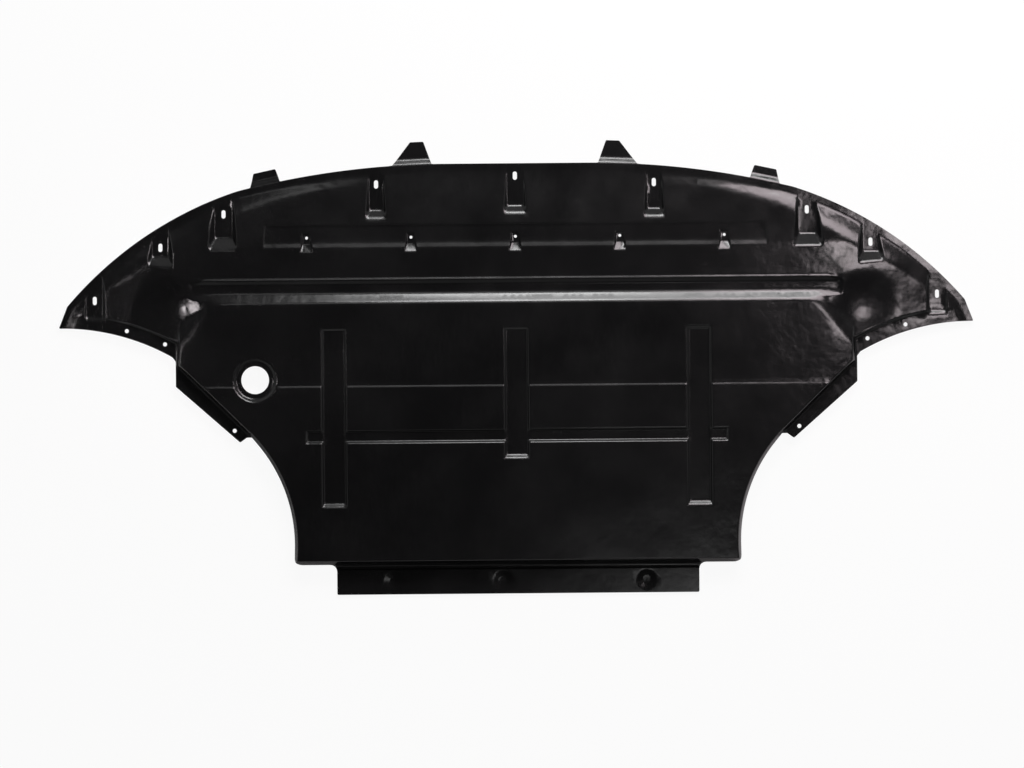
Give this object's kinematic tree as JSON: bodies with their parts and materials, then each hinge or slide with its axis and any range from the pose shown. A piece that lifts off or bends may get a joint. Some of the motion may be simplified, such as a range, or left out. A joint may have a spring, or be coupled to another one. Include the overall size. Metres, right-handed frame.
{
  "type": "engine undertray",
  "caption": "Thin vacuum-formed plastic undertray with swept wings, slotted front pockets, stiffening channels and an access hole.",
  "frame": {"origin": "middle of the overall box, at the height of the front tabs' undersides", "axes": "+X across the car, +Y towards the front edge with the tabs, +Z out of the road face"},
  "size_m": [1.514, 0.75, 0.0305],
  "materials": {
    "sheet": "glossy black, lightly waved"
  },
  "bodies": {
    "root": {"shield": "sheet"}
  },
  "joints": []
}
